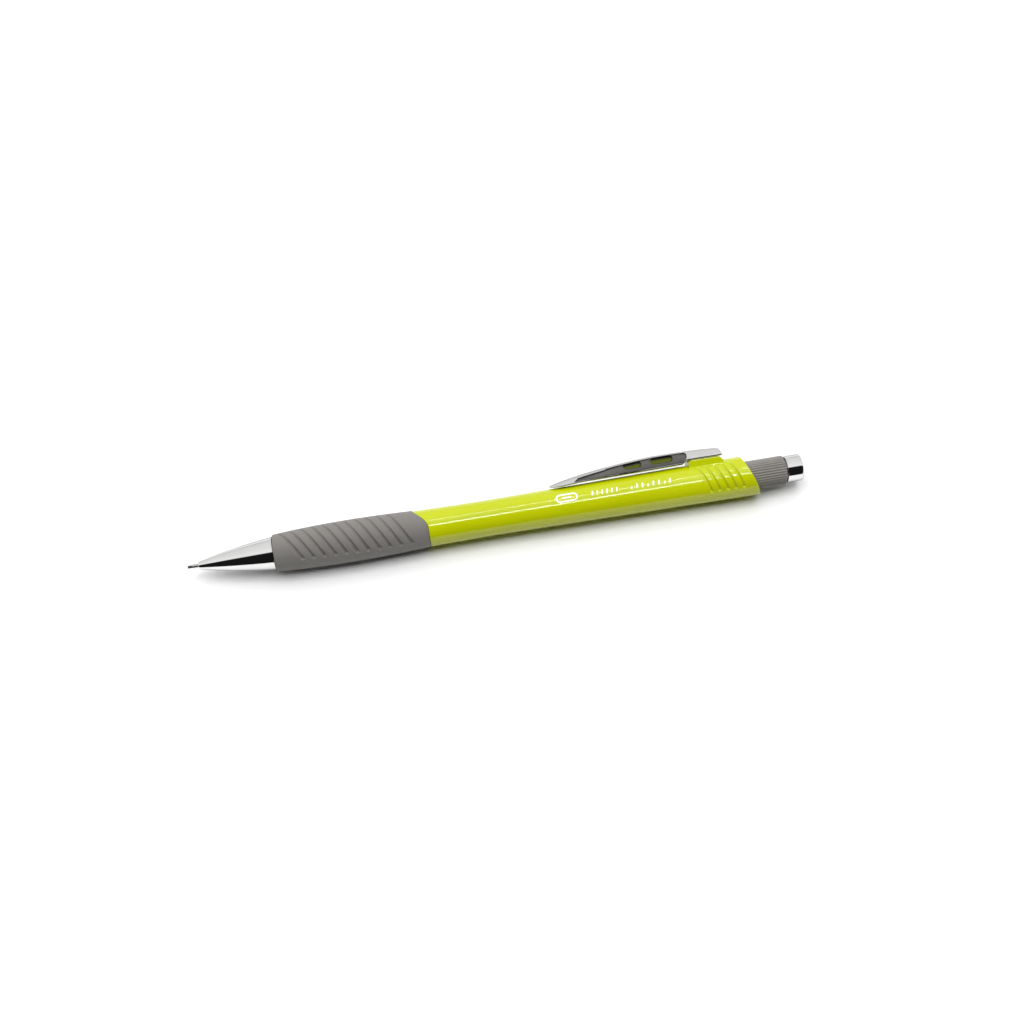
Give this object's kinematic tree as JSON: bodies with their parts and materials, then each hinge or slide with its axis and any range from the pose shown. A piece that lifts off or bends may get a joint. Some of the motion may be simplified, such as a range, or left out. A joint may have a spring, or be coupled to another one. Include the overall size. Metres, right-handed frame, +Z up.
{
  "type": "mechanical pencil",
  "caption": "Push-button mechanical pencil with a ribbed soft grip, plated nose cone and clip, oblique barrel end and twist-out eraser.",
  "frame": {"origin": "centre of the footprint, on the surface that the pencil lies on", "axes": "+X along the pencil from the point to the button, +Z up; the clip leans 60 degrees back from +Z towards +Y"},
  "size_m": [0.1446, 0.013, 0.0109],
  "materials": {
    "lime_plastic": "glossy lime moulding",
    "grip_rubber": "matt warm grey soft rubber",
    "grey_plastic": "satin warm grey moulding",
    "chrome": "polished chrome plate on brass",
    "plated_plastic": "chrome-plated plastic moulding",
    "steel": "drawn steel",
    "brass": "turned brass",
    "natural_plastic": "milky natural plastic",
    "graphite": "polymer-bonded graphite",
    "black_rubber": "black rubber",
    "eraser": "white vinyl eraser"
  },
  "bodies": {
    "barrel": {"barrel": "lime_plastic", "grip": "grip_rubber", "grip_core": "grey_plastic", "clutch_sleeve": "brass", "chuck_spring": "steel", "rear_bush": "natural_plastic"},
    "clip": {"clip": "plated_plastic", "clip_core": "lime_plastic"},
    "nose_thread": {"lead_retainer": "black_rubber"},
    "nose": {"nose_cone": "chrome", "lead_sleeve": "steel"},
    "clutch": {"clutch_ring": "brass"},
    "button": {"chuck": "brass", "tube_connector": "natural_plastic", "lead_tube": "natural_plastic", "spare_lead_1": "graphite", "spare_lead_2": "graphite", "spare_lead_3": "graphite"},
    "lead": {"writing_lead": "graphite"},
    "eraser_unit": {"slotted_guide": "natural_plastic", "friction_ring": "black_rubber"},
    "twist": {"twist_sleeve": "grey_plastic", "end_ring": "chrome"},
    "eraser": {"eraser_holder": "grey_plastic", "eraser": "eraser"}
  },
  "joints": [
    {"name": "button_push", "type": "slide", "parent": "barrel", "child": "button", "axis": [-1, 0, 0], "range_m": [0, 0.0025], "stiffness_N_per_m": 1200, "springref_m": -0.0015, "deforming": ["chuck_spring"]},
    {"name": "clutch_slide", "type": "slide", "parent": "barrel", "child": "clutch", "axis": [-1, 0, 0], "range_m": [0, 0.00096]},
    {"name": "lead_feed", "type": "slide", "parent": "button", "child": "lead", "axis": [-1, 0, 0], "range_m": [-0.0009, 0.01]},
    {"name": "nose_slide", "type": "slide", "parent": "barrel", "child": "nose_thread", "axis": [-1, 0, 0], "range_m": [0, 0.006]},
    {"name": "nose_turn", "type": "hinge", "parent": "nose_thread", "child": "nose", "pos_m": [-0.05, -0.00159, 0.00489], "axis": [-1, 0, 0], "range_deg": [0, 2881]},
    {"name": "eraser_unit_pull", "type": "slide", "parent": "button", "child": "eraser_unit", "axis": [1, 0, 0], "range_m": [0, 0.01]},
    {"name": "eraser_twist", "type": "hinge", "parent": "eraser_unit", "child": "twist", "pos_m": [0.06, -0.00159, 0.00489], "axis": [1, 0, 0], "range_deg": [0, 720.5]},
    {"name": "eraser_feed", "type": "slide", "parent": "eraser_unit", "child": "eraser", "axis": [1, 0, 0], "range_m": [0, 0.011]},
    {"name": "clip_flex", "type": "hinge", "parent": "barrel", "child": "clip", "pos_m": [0.05375, 0.00347, 0.00781], "axis": [0, 0.5, -0.866], "range_deg": [0, 4.5], "stiffness_Nm_per_rad": 1.5, "springref_deg": -1.15}
  ],
  "couplings": [
    {"joint": "clutch_slide", "follows": "button_push", "ratio": 0.38},
    {"joint": "nose_turn", "follows": "nose_slide", "rad_per_m": 8377.6},
    {"joint": "eraser_twist", "follows": "eraser_feed", "rad_per_m": 1142.4}
  ]
}
